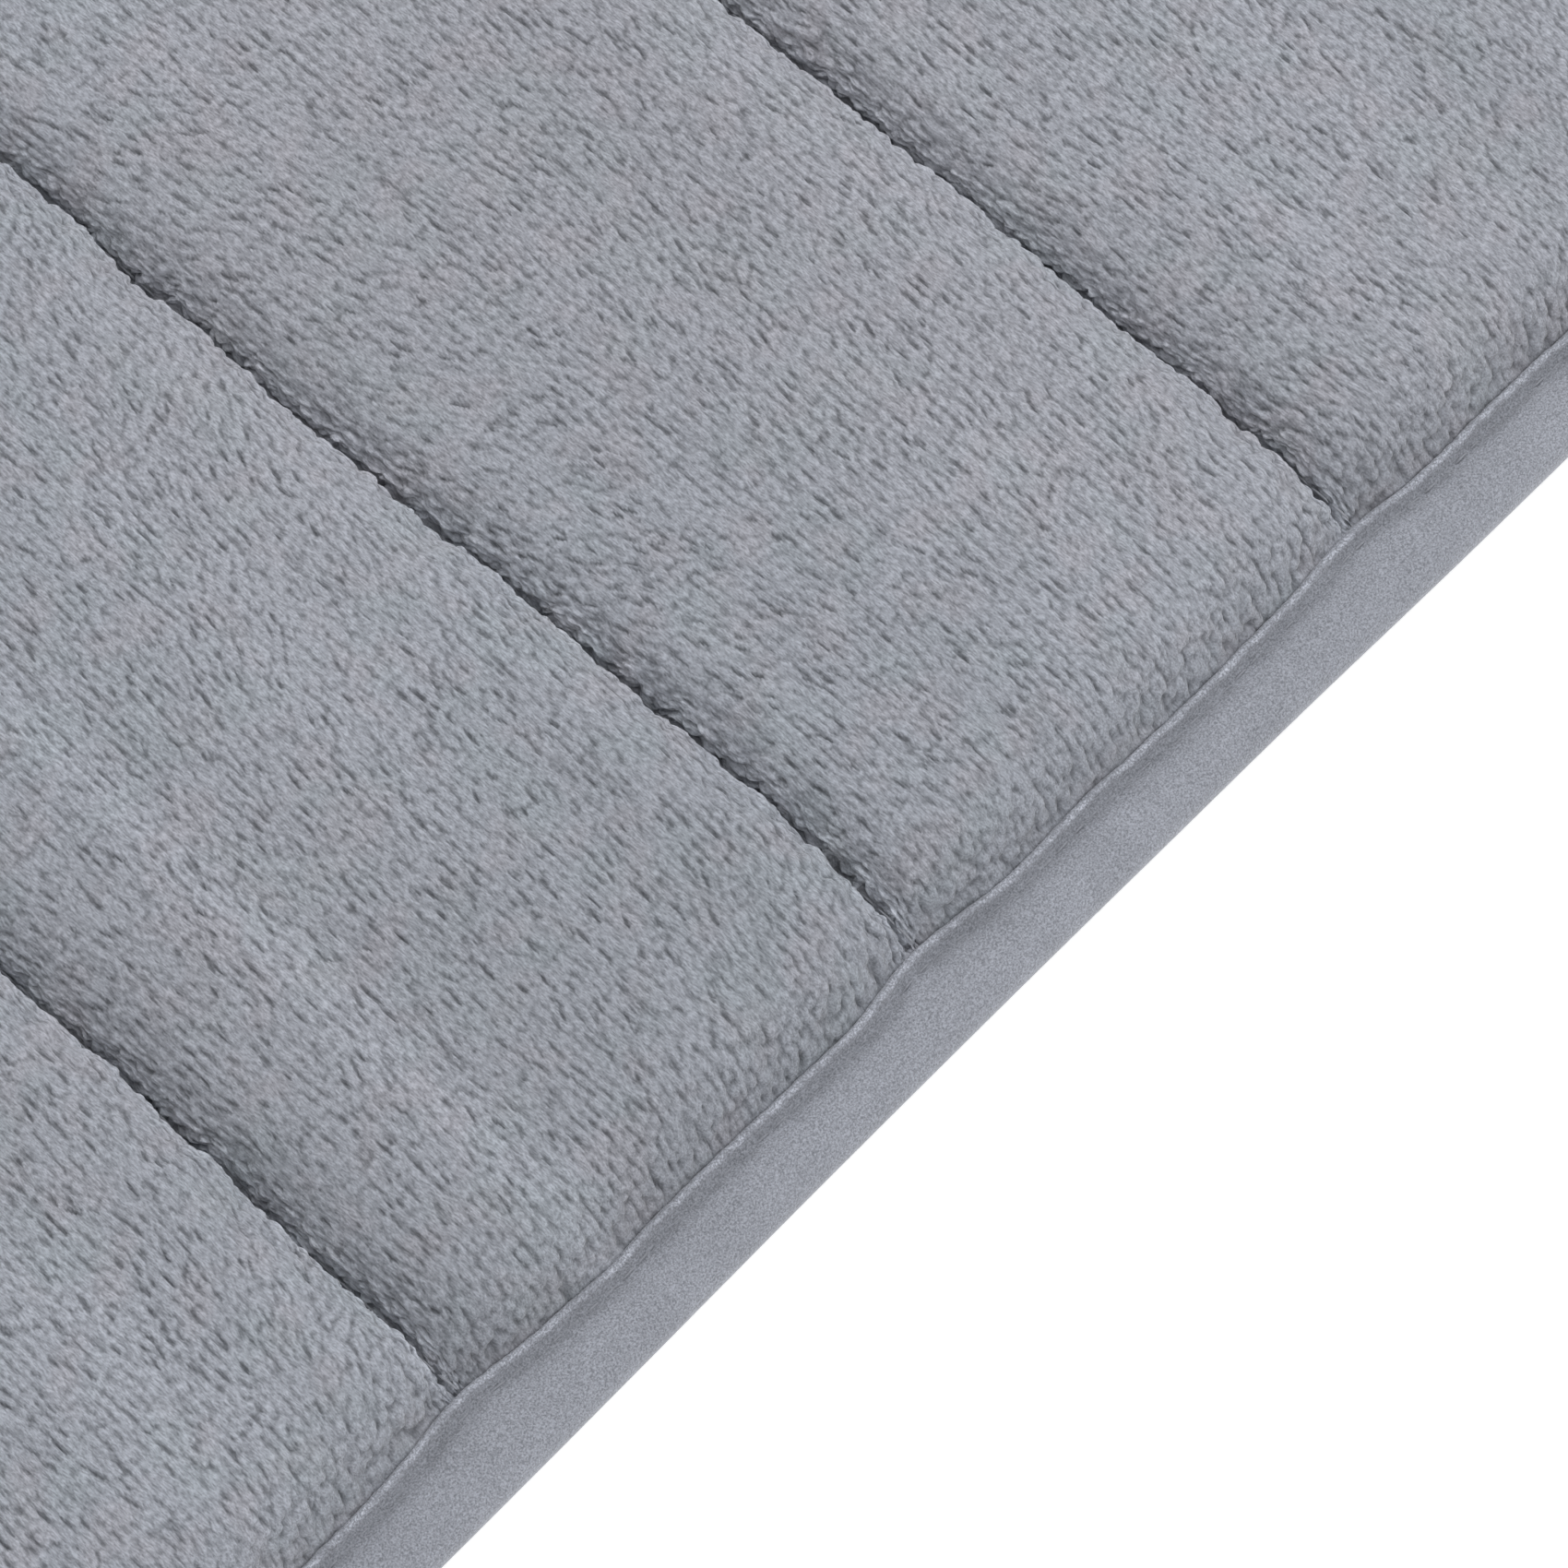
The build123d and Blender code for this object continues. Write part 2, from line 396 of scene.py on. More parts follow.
# The usual height of a tuft, which lies on the smooth surface.
TUFT_MEAN = 0.85
COVER_THICKNESS = 1.9 * MM
CROWN_EXTRA = 1.0 * MM


def pile_tone_and_painted_light(x, y):
    """How light the pile is painted at each place: random streaks, a painted highlight on each crest and each
    panel's lip, and painted shade on the sagging slope beside each seam.
    """
    tone_and_painted_light = 1 + 0.055 * soft_noise(x, y, 17 * MM, 80 * MM, 51) + 0.04 * soft_noise(x, y, 70 * MM, 55 * MM, 52)
    for seam, sag in zip(seam_places, PANEL_SAGS):
        away = x - seam
        strength = sag / PANEL_SAGS[1]
        # Painted highlight on the crest, painted shade on the sag past the seam, painted highlight on the lip
        # before it.
        tone_and_painted_light += 0.12 * strength * np.exp(-(((away - 24 * MM) / (3.2 * MM)) ** 2))
        tone_and_painted_light -= 0.13 * strength * np.exp(-((away / (11 * MM)) ** 2)) * (away > 0)
        tone_and_painted_light += 0.05 * np.exp(-(((away + 5 * MM) / (5 * MM)) ** 2))
    return tone_and_painted_light


def pile_lean(x, y):
    """The angle from the seams at which the tufts lie, which swings over across each panel."""
    panel_place = (x - seam_places[0]) / panel_pitch % 1
    swing = math.radians(10) - math.radians(24) * panel_place
    return swing + soft_noise(x, y, 26 * MM, 34 * MM, 6) * math.radians(12)


def tuft_field(cloth_x, cloth_y, x_of_cloth, pitch, half_size, spread, seed, mean=TUFT_MEAN, variety=0.13):
    """Heights of overlapping tufts on a grid of cloth coordinates: 0 in a gap, about 1 on a tip."""
    rng = np.random.default_rng(seed)
    across = np.arange(cloth_x[0], cloth_x[-1], pitch[0])
    along = np.arange(cloth_y[0], cloth_y[-1], pitch[1])
    centre_y, centre_x = np.meshgrid(along, across, indexing="ij")
    centre_y = centre_y + rng.uniform(-0.5, 0.5, len(across)) * pitch[1]
    centre_x = centre_x + soft_noise(centre_x, centre_y, 9 * MM, 7 * MM, seed + 100) * 0.55 * pitch[0]
    centre_x = (centre_x + rng.uniform(-spread, spread, centre_x.shape) * pitch[0]).ravel()
    centre_y = (centre_y + rng.uniform(-spread, spread, centre_y.shape) * pitch[1]).ravel()
    count = len(centre_x)
    half_across = half_size[0] * rng.uniform(0.8, 1.25, count)
    half_along = half_size[1] * rng.uniform(0.7, 1.35, count)
    height = np.clip(rng.normal(mean, variety, count), 0, 1.2)
    tilt = rng.uniform(-0.35, 0.35, count)
    angle = pile_lean(np.interp(centre_x, cloth_x, x_of_cloth), centre_y) + rng.normal(0, 0.14, count)
    cosine, sine = np.cos(angle), np.sin(angle)
    field = np.zeros((len(cloth_y), len(cloth_x)), np.float32)
    column = np.searchsorted(cloth_x, centre_x)
    row = np.searchsorted(cloth_y, centre_y)
    reach_x = int(1.25 * max(half_size[0] * 1.2, half_size[1] * 0.55) / PILE_STEP_ACROSS) + 1
    reach_y = int(1.35 * half_size[1] / PILE_STEP_ALONG) + 1
    for down in range(-reach_y, reach_y + 1):
        for right in range(-reach_x, reach_x + 1):
            r = np.clip(row + down, 0, len(cloth_y) - 1)
            c = np.clip(column + right, 0, len(cloth_x) - 1)
            dx, dy = cloth_x[c] - centre_x, cloth_y[r] - centre_y
            lengthwise = (sine * dx - cosine * dy) / half_along
            sideways = (cosine * dx + sine * dy) / half_across
            inside = np.maximum(1 - lengthwise**2 - sideways**2, 0)
            rise = height * np.sqrt(inside) * (1 + 0.22 * lengthwise + tilt * sideways)
            field[r, c] = np.maximum(field[r, c], rise)
    return field


def box_blur(field, half_rows, half_columns):
    """The mean of a field over a small box round each point."""
    for axis, half in ((0, half_rows), (1, half_columns)):
        padding = [(half + 1, half) if index == axis else (0, 0) for index in range(2)]
        total = np.cumsum(np.pad(field, padding, mode="edge"), axis=axis, dtype=float)
        size = field.shape[axis]
        ends = np.take(total, range(2 * half + 1, 2 * half + 1 + size), axis=axis)
        starts = np.take(total, range(size), axis=axis)
        field = (ends - starts) / (2 * half + 1)
    return field


def pile_zones(x, y):
    """How much each place shows from under the tape, nears the rim, clumps, and lies in or by a crease."""
    depth = edge_distance(x, y) - TAPE_REACH
    depth = depth - ridge_wander(*nearest_outline(x, y))
    shown = ease(depth, -0.4 * MM, 0.6 * MM)
    near_rim = np.exp(-((np.maximum(depth, 0) / (7 * MM)) ** 2))
    clumping = np.clip(seam_closeness(x, 6 * MM) + 0.8 * near_rim, 0, 1)
    beyond = np.min([np.where(x > seam, x - seam, 1.0) for seam in seam_places], axis=0)
    before = np.min([np.where(x < seam, seam - x, 1.0) for seam in seam_places], axis=0)
    in_crease = np.exp(-((beyond / (2.6 * MM)) ** 2))
    smooth_lip = 1 - 0.15 * np.exp(-(((before - 3 * MM) / (3.5 * MM)) ** 2))
    return shown, near_rim, clumping, in_crease, smooth_lip


def cover_uv(cloth_x, cloth_y):
    """Texture places for the cover: most of the square for its upper side, a strip for its under side."""
    u = (cloth_x - cloth_x[0]) / (cloth_x[-1] - cloth_x[0])
    v = (cloth_y - cloth_y[0]) / (cloth_y[-1] - cloth_y[0])
    top_uv = np.stack(np.meshgrid(u, v * 0.93), -1)
    under_uv = np.stack(np.meshgrid(u[::UNDER_STEP], 0.94 + v[::UNDER_STEP] * 0.06), -1)
    return np.concatenate([top_uv.reshape(-1, 2), under_uv.reshape(-1, 2)])


def make_cover(material):
    """The cover: a thin closed shell whose upper side carries every tuft."""
    place_x, cloth_x, share_x = cloth_line(half_length, seam_places, PILE_STEP_ACROSS, 1.6 * MM, UNDER_STEP)
    place_y, cloth_y, _ = cloth_line(half_width, [], PILE_STEP_ALONG, 1.6 * MM, UNDER_STEP)
    x, y = np.meshgrid(place_x, place_y)
    x, y = drawn_in(*round_corners(x, y, CORNER_RADIUS - cover_reach))
    smooth = quilted_surface(x, y, np.broadcast_to(share_x, x.shape))
    normals = grid_normals(smooth)

    grid = (cloth_x, cloth_y, place_x)
    tufts = tuft_field(*grid, TUFT_PITCH, TUFT_HALF_SIZE, 0.24, 21)
    cracks = tuft_field(*grid, CRACK_PITCH, CRACK_HALF_SIZE, 0.32, 23, mean=0.30, variety=0.50)
    clumps = tuft_field(*grid, CLUMP_PITCH, CLUMP_HALF_SIZE, 0.4, 22)
    seam_tufts = tuft_field(*grid, SEAM_TUFT_PITCH, SEAM_TUFT_HALF_SIZE, 0.4, 24, mean=0.7, variety=0.3)
    shown, near_rim, clumping, in_crease, smooth_lip = pile_zones(x, y)
    patchy = 1 + 0.3 * soft_noise(x, y, 9 * MM, 12 * MM, 8)
    cracks = cracks * (1 - 0.65 * near_rim)
    relief = (TUFT_RELIEF * (tufts - TUFT_MEAN) * patchy - CRACK_DEPTH * cracks) * smooth_lip
    relief += CLUMP_RELIEF * (clumps - TUFT_MEAN) * clumping * smooth_lip
    relief += SEAM_TUFT_RELIEF * (seam_tufts - 0.6) * in_crease
    top = smooth + normals * (relief * shown)[..., None]

    body = COVER_THICKNESS + CROWN_EXTRA * (smooth[..., 2:] - margin_top) / pile_height
    under = (smooth - normals * body)[::UNDER_STEP, ::UNDER_STEP]
    cover = build_shell("plush_cover", top, under, UNDER_STEP, cover_uv(cloth_x, cloth_y))

    # Painted shade: darker in the hollows between tufts, in the cracks, in each crease and between clumps
    # near the seams and rim, a little lighter on the seam tufts.
    sunk = box_blur(tufts, 2, 3) - tufts
    painted_hollow_shade = np.clip(0.25 + 1.2 * sunk + 0.85 * cracks * smooth_lip, 0, 1.15) * shown
    painted_hollow_shade = painted_hollow_shade + in_crease * (0.25 - 0.6 * seam_tufts)
    painted_hollow_shade = painted_hollow_shade + (0.35 * clumping + 0.5 * near_rim) * np.clip(box_blur(clumps, 3, 5) - clumps, 0, 1)
    paint(cover, "painted_hollow_shade", np.concatenate([painted_hollow_shade.ravel(), np.full(under.size // 3, 0.5)]))
    # Painted shade towards the rim and painted light on each crease's floor, added to the streaks and painted
    # light above.
    tone_and_painted_light = pile_tone_and_painted_light(x, y) - 0.02 * near_rim + 0.6 * seam_closeness(x, 1.6 * MM)
    paint(cover, "nap_tone_and_painted_light", np.concatenate([tone_and_painted_light.ravel(), np.ones(under.size // 3)]))
    place_piece(cover, material, "cover_pile", "top_cover")


# ---------------------------------------------------------------------------------------------------------
# The foam core and the backing
# ---------------------------------------------------------------------------------------------------------
def make_foam(material):
    """The foam core, which fills the cover and thins out under each seam and towards the edge."""
    step = 2.4 * MM
    place_x, _, share_x = cloth_line(half_length, seam_places, step, 3 * MM, 1)
    place_y, _, _ = cloth_line(half_width, [], step, 3 * MM, 1)
    x, y = np.meshgrid(place_x, place_y)
    x, y = drawn_in(*round_corners(x, y, CORNER_RADIUS - cover_reach))
    smooth = quilted_surface(x, y, np.broadcast_to(share_x, x.shape))
    body = COVER_THICKNESS + 0.1 * MM + CROWN_EXTRA * (smooth[..., 2:] - margin_top) / pile_height
    top = smooth - grid_normals(smooth) * body
    top[..., 2] = np.maximum(top[..., 2], foam_low.z + 1.2 * MM)
    under = np.stack([x, y, np.full_like(x, foam_low.z + 0.02 * MM)], -1)
    foam = build_shell("foam_sheet", top, under)
    place_piece(foam, material, "foam", "foam_core")


def make_backing(material):
    """The backing cloth: a thin flat sheet, drawn up a little along every seam."""
    place_x = np.linspace(backing_low.x, backing_high.x, 401)
    place_y = np.linspace(backing_low.y, backing_high.y, 201)
    x, y = np.meshgrid(place_x, place_y)
    x, y = drawn_in(*round_corners(x, y, CORNER_RADIUS - cover_reach))
    drawn_up = 0.12 * MM * seam_closeness(x, 1.6 * MM)
    under = np.stack([x, y, backing_low.z + 0.02 * MM + drawn_up], -1)
    top = under + [0, 0, 0.42 * MM]
    backing = build_shell("backing_cloth", top, under)
    place_piece(backing, material, "backing", "backing_fabric")


# ---------------------------------------------------------------------------------------------------------
# The edge binding
# ---------------------------------------------------------------------------------------------------------
TAPE_STEP = 0.55 * MM
# The folded tape's section, in mm: how far in from the mat's edge, and how high. First its outer side, from
# the tucked hem over the ridge, through the stitched valley, round the edge and back underneath.
TAPE_OUTER = [
    (10.5, 6.0), (11.1, 6.3), (11.2, 6.8), (10.95, 7.25), (10.55, 7.42), (10.1, 7.15), (9.8, 6.6),
    (9.4, 6.1), (8.9, 5.92), (8.35, 6.1), (7.6, 6.5), (6.6, 6.8), (5.2, 6.9), (3.4, 6.75), (1.8, 6.25),
    (0.65, 5.2), (0.1, 3.7), (0.3, 2.0), (1.0, 0.75), (2.3, 0.15), (4.5, 0.03), (7.2, 0.05), (8.2, 0.16),
    (8.95, 0.34), (9.7, 0.16), (11.0, 0.03), (12.3, 0.05), (13.0, 0.3),
]
TAPE_INNER = [
    (12.6, 0.78), (8.95, 0.78), (4.0, 0.78), (2.2, 0.85), (1.2, 1.5), (0.85, 2.6), (0.8, 3.7), (1.15, 4.7),
    (2.1, 5.45), (3.4, 5.6), (6.5, 5.45), (8.95, 5.3), (9.7, 5.45),
]
VALLEY = 9.05 * MM
# Where the tape's two ends overlap, as distances along the outline: on the far long side.
TAPE_JOIN = 1080 * MM
JOIN_END = TAPE_JOIN + 15 * MM


def outline_frames(count):
    """Evenly spaced points round the mat's outline, with their inward normals and distances along it."""
    straight_x, straight_y = half_length - CORNER_RADIUS, half_width - CORNER_RADIUS
    quarter = CORNER_RADIUS * math.pi / 2
    around = 4 * (straight_x + straight_y + quarter)
    place = np.arange(count) / count * around
    points, inward = np.zeros((count, 3)), np.zeros((count, 3))
    start = 0.0
    sides = [
        ((-straight_x, -half_width), (1, 0), 2 * straight_x, (straight_x, -straight_y), -90),
        ((half_length, -straight_y), (0, 1), 2 * straight_y, (straight_x, straight_y), 0),
        ((straight_x, half_width), (-1, 0), 2 * straight_x, (-straight_x, straight_y), 90),
        ((-half_length, straight_y), (0, -1), 2 * straight_y, (-straight_x, -straight_y), 180),
    ]
    for first, direction, length, centre, angle in sides:
        on_side = (place >= start) & (place < start + length)
        along = place[on_side] - start
        points[on_side, :2] = np.array(first) + along[:, None] * direction
        inward[on_side, :2] = (-direction[1], direction[0])
        start += length
        on_corner = (place >= start) & (place < start + quarter)
        turn = math.radians(angle) + (place[on_corner] - start) / CORNER_RADIUS
        spoke = np.stack([np.cos(turn), np.sin(turn)], -1)
        points[on_corner, :2] = np.array(centre) + spoke * CORNER_RADIUS
        inward[on_corner, :2] = -spoke
        start += quarter
    return points, inward, place, around


def edge_wander(place, around):
    """How far the mat's outer edge strays from its straight sides."""
    waves = 0.45 * MM * np.cos((place - 235 * MM) / around * 16 * math.pi)
    return waves + loop_noise(place, around, 60, 63) * 0.15 * MM


def tape_zones(inset, height, outer_count):
    """How far each point of the tape's section belongs to its upper side, outer skin, stitch valley, the
    slope beside the valley, the flat flap and the ridge."""
    upper = ease(height, 3.0 * MM, 5.0 * MM)
    outer_skin = (np.arange(len(inset)) < outer_count).astype(float)
    valley = np.exp(-(((inset - VALLEY) / (1.0 * MM)) ** 2)) * outer_skin
    beside = np.exp(-(((inset - 7.9 * MM) / (1.2 * MM)) ** 2)) * upper * outer_skin
    flap = upper * outer_skin * (1 - ease(inset, 7.5 * MM, 9 * MM))
    ridge = ease(inset, 9.7 * MM, 10.4 * MM) * upper * outer_skin
    return upper, outer_skin, valley, beside, flap, ridge


def make_binding(material):
    """The folded tape: hem, sunk line of stitches, rounded edge and under flap, in one closed ring."""
    outer = smooth_curve(np.array(TAPE_OUTER) * MM, 3)
    inner = np.array(TAPE_INNER) * MM
    section = np.concatenate([outer, inner])
    count = int(4 * (half_length + half_width) / TAPE_STEP)
    points, inward, place, around = outline_frames(count)
    inset, height = section.T
    upper, outer_skin, valley, beside, flap, ridge = tape_zones(inset, height, len(outer))
    near_hem = ease(inset, 4.0 * MM, 8.6 * MM) * upper
    hem_shift = ridge_wander(points[:, 0], points[:, 1])[:, None]
    edge_shift = edge_wander(place, around)[:, None] * (1 - ease(inset, 1 * MM, 9 * MM))

    run = place[:, None]
    slant = 0.7 * (inset - VALLEY)
    puckers = loop_noise(run + slant, around, int(around / (1.5 * MM)), 64)
    draws = loop_noise(run + slant, around, int(around / (1.9 * MM)), 65)
    swells = loop_noise(run, around, int(around / (11 * MM)), 66)
    nubs = loop_noise(run + slant, around, int(around / (1.15 * MM)), 67)
    lift = valley * 0.12 * puckers * MM
    lift = lift + beside * 0.38 * draws * MM + flap * 0.12 * swells * MM
    lift = lift + ridge * (0.12 * swells + 0.30 * nubs + 0.16 * draws) * MM
    doubled = ease(run, TAPE_JOIN, TAPE_JOIN + 0.5 * MM) * (1 - ease(run, JOIN_END, JOIN_END + 2 * MM))
    doubled = doubled * outer_skin * (height > 0.5 * MM)
    lift = lift + doubled * upper * 0.5 * MM
    reach = inset + hem_shift * near_hem + edge_shift - doubled * (1 - upper) * 0.35 * MM
    spots = points[:, None, :] + inward[:, None, :] * reach[..., None]
    spots[..., 2] = height + np.where(height > 3 * MM, lift, -np.minimum(lift, 0) * 0.6)

    quads = grid_quads(count, len(section), close_rows=True, close_columns=True)
    tape = build_mesh("binding_tape", spots, quads)
    # Painted shade in the stitched valley and on the puckers beside it, less a painted highlight on the
    # ridge's top.
    valley_shade_and_ridge_highlight = np.exp(-(((inset - 9.0 * MM) / (0.8 * MM)) ** 2)) + 0.5 * beside * draws
    raised = ridge * (height > 6.9 * MM) * (0.85 - 0.8 * nubs - 0.3 * draws)
    paint(tape, "valley_shade_and_ridge_highlight", (valley_shade_and_ridge_highlight - raised) * upper)
    place_piece(tape, material, "binding", "edge_binding")
    return points, inward, place, around


# ---------------------------------------------------------------------------------------------------------
# Stitches
# ---------------------------------------------------------------------------------------------------------
STITCH_SIDES = 6
STITCH_RINGS = np.array([(0.0, 0.35, -0.9), (0.12, 0.8, -0.25), (0.35, 1.0, 0.0), (0.65, 1.0, 0.0),
                         (0.88, 0.8, -0.25), (1.0, 0.35, -0.9)])


def make_stitches(name, starts, ends, up, radius, material, slot_name, node):
    """A row of separate stitches, each a short thread that dips at both its ends."""
    starts, ends = np.asarray(starts, float), np.asarray(ends, float)
    direction = ends - starts
    forward = direction / np.linalg.norm(direction, axis=1, keepdims=True)
    sideways = np.cross(forward, [0, 0, 1.0])
    share, size, sink = STITCH_RINGS.T
    centres = starts[:, None] + direction[:, None] * share[:, None]
    centres[..., 2] += up * sink * radius * 1.6
    turn = np.arange(STITCH_SIDES) / STITCH_SIDES * 2 * math.pi
    ring = sideways[:, None, None] * np.cos(turn)[:, None] + np.array([0, 0, 1.0]) * np.sin(turn)[:, None]
    spots = centres[:, :, None] + ring * (size * radius)[:, None, None]
    one = grid_quads(len(share), STITCH_SIDES, close_columns=True)[:, ::-1]
    per_stitch = len(share) * STITCH_SIDES
    offsets = (np.arange(len(starts)) * per_stitch)[:, None, None]
    quads = (one[None] + offsets).reshape(-1, 4)
    cap = [(0, side, side + 1) for side in range(1, STITCH_SIDES - 1)]
    last = per_stitch - STITCH_SIDES
    far_cap = [(last + a, last + c, last + b) for a, b, c in cap]
    triangles = (np.array(cap + far_cap)[None] + offsets).reshape(-1, 3)
    piece = build_mesh(name, spots, quads, triangles)
    place_piece(piece, material, slot_name, node)


def seam_stitches(number, node, upper, material):
    """The stitches of one quilting seam, above in its crease or below against the backing."""
    pitch, gap = 3.6 * MM, 0.5 * MM
    low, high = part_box(node)
    radius = 0.19 * MM
    first = np.arange(low.y + gap, high.y - pitch, pitch)
    wander = seam_wave(np.stack([first, first + pitch - gap]), number) if upper else np.zeros((2, len(first)))
    centre = seam_places[number]
    height = (low.z + high.z) / 2 + (CREASE_FILL * pile_height if upper else 0)
    starts = np.stack([centre + wander[0], first, np.full_like(first, height)], -1)
    ends = np.stack([centre + wander[1], first + pitch - gap, np.full_like(first, height)], -1)
    side = "needle" if upper else "bobbin"
    make_stitches(f"quilt_{side}_stitches_{number + 1}", starts, ends, 1 if upper else -1, radius,
                  material, "thread", node)


def binding_stitches(frames, node, upper, material):
    """The stitches that hold the tape, in the valley above or below."""
    points, inward, place, around = frames
    low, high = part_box(node)
    height = 5.84 * MM if upper else (low.z + high.z) / 2
    pitch, gap = 3.1 * MM, 0.45 * MM
    count = round(around / pitch)
    step = len(place) / count
    wander = ridge_wander(points[:, 0], points[:, 1])[:, None] if upper else np.zeros((len(place), 1))
    line = points + inward * (binding_seam_inset + wander)
    line[:, 2] = height
    first = (np.arange(count) * step).astype(int)
    last = (first + round(step * (1 - gap / pitch))) % len(place)
    side = "needle" if upper else "bobbin"
    make_stitches(f"binding_{side}_stitches", line[first], line[last], 1 if upper else -1, 0.2 * MM,
                  material, "thread", node)


# ---------------------------------------------------------------------------------------------------------
# The grip dots
# ---------------------------------------------------------------------------------------------------------
def make_dots(material):
    """The field of small domes on the backing, in staggered rows that leave the seams clear."""
    spacing, radius = 6.2 * MM, 1.25 * MM
    low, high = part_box("grip_field")
    rows = np.arange(low.y + 3 * MM, high.y - 3 * MM, spacing * math.sqrt(3) / 2)
    columns = np.arange(low.x + 3 * MM, high.x - 3 * MM - spacing / 2, spacing)
    y, x = np.meshgrid(rows, columns, indexing="ij")
    x = (x + (np.arange(len(rows)) % 2)[:, None] * spacing / 2).ravel()
    y = y.ravel()
    clear = np.min([np.abs(x - seam) for seam in seam_places], axis=0) > radius + 0.4 * MM
    clear &= edge_distance(x, y) > TAPE_UNDER_REACH + radius + 0.4 * MM
    x, y = x[clear], y[clear]
    rng = np.random.default_rng(71)
    size = radius * rng.uniform(0.93, 1.07, len(x))
    sides = 12
    rings = np.array([(1.0, 1.06), (0.97, 0.55), (0.72, 0.16), (0.3, 0.0)])
    turn = np.arange(sides) / sides * 2 * math.pi
    spots = np.zeros((len(x), len(rings), sides, 3))
    spots[..., 0] = x[:, None, None] + size[:, None, None] * rings[:, 0][:, None] * np.cos(turn)
    spots[..., 1] = y[:, None, None] + size[:, None, None] * rings[:, 0][:, None] * np.sin(turn)
    spots[..., 2] = (low.z + 0.02 * MM + (backing_low.z - low.z) * rings[:, 1])[None, :, None]
    per_dot = len(rings) * sides
    offsets = (np.arange(len(x)) * per_dot)[:, None, None]
    one = grid_quads(len(rings), sides, close_columns=True)[:, ::-1]
    quads = (one[None] + offsets).reshape(-1, 4)
    root = [(0, side, side + 1) for side in range(1, sides - 1)]
    last = per_dot - sides
    tip = [(last + a, last + c, last + b) for a, b, c in root]
    triangles = (np.array(root + tip)[None] + offsets).reshape(-1, 3)
    dots = build_mesh("grip_dots", spots, quads, triangles)
    place_piece(dots, material, "grip", "grip_field")


# ---------------------------------------------------------------------------------------------------------
# Materials
# ---------------------------------------------------------------------------------------------------------
class Shader:
    """A node material under construction."""

    def __init__(self, name, roughness, sheen=0.0, sheen_roughness=0.5, specular=0.3):
        self.material = bpy.data.materials.new(name)
        self.material.use_nodes = True
        self.nodes = self.material.node_tree.nodes
        self.links = self.material.node_tree.links
        self.surface = self.nodes["Principled BSDF"]
        self.surface.inputs["Roughness"].default_value = roughness
        self.surface.inputs["Specular IOR Level"].default_value = specular
        self.surface.inputs["Sheen Weight"].default_value = sheen
        self.surface.inputs["Sheen Roughness"].default_value = sheen_roughness
        self.place = self.add("ShaderNodeTexCoord").outputs["Object"]

    def add(self, kind, **settings):
        node = self.nodes.new(kind)
        for name, value in settings.items():
            setattr(node, name, value)
        return node

    def link(self, source, target):
        if isinstance(source, (int, float, tuple)):
            target.default_value = source
        else:
            self.links.new(source, target)

    def stretched(self, scale, turn=0.0, place=None):
        node = self.add("ShaderNodeMapping")
        node.inputs["Scale"].default_value = scale
        node.inputs["Rotation"].default_value = (0, 0, turn)
        self.link(self.place if place is None else place, node.inputs["Vector"])
        return node.outputs["Vector"]

    def noise(self, scale, detail=2.0, roughness=0.5, place=None):
        node = self.add("ShaderNodeTexNoise")
        node.inputs["Scale"].default_value = scale
        node.inputs["Detail"].default_value = detail
        node.inputs["Roughness"].default_value = roughness
        self.link(self.place if place is None else place, node.inputs["Vector"])
        return node.outputs["Fac"]

    def attribute(self, name):
        return self.add("ShaderNodeAttribute", attribute_name=name).outputs["Fac"]

    def remap(self, value, low, high, new_low, new_high):
        node = self.add("ShaderNodeMapRange")
        self.link(value, node.inputs["Value"])
        for key, number in (("From Min", low), ("From Max", high), ("To Min", new_low), ("To Max", new_high)):
            node.inputs[key].default_value = number
        return node.outputs["Result"]

    def math(self, operation, a, b):
        node = self.add("ShaderNodeMath", operation=operation)
        self.link(a, node.inputs[0])
        self.link(b, node.inputs[1])
        return node.outputs["Value"]

    def blend(self, share, a, b):
        """A colour between two colours, each a node's output or a plain colour."""
        node = self.add("ShaderNodeMix", data_type="RGBA")
        self.link(share, node.inputs["Factor"])
        for colour, socket in ((a, node.inputs[6]), (b, node.inputs[7])):
            if isinstance(colour, tuple):
                socket.default_value = (*colour, 1)
            else:
                self.links.new(colour, socket)
        return node.outputs[2]

    def scaled(self, colour, share):
        """A colour made lighter or darker by a factor."""
        node = self.add("ShaderNodeVectorMath", operation="SCALE")
        self.link(colour, node.inputs[0])
        self.link(share, node.inputs["Scale"])
        return node.outputs["Vector"]

    def colour(self, value):
        self.links.new(value, self.surface.inputs["Base Color"])

    def bump(self, height, distance, strength=1.0):
        node = self.add("ShaderNodeBump")
        node.inputs["Strength"].default_value = strength
        node.inputs["Distance"].default_value = distance
        self.link(height, node.inputs["Height"])
        self.links.new(node.outputs["Normal"], self.surface.inputs["Normal"])


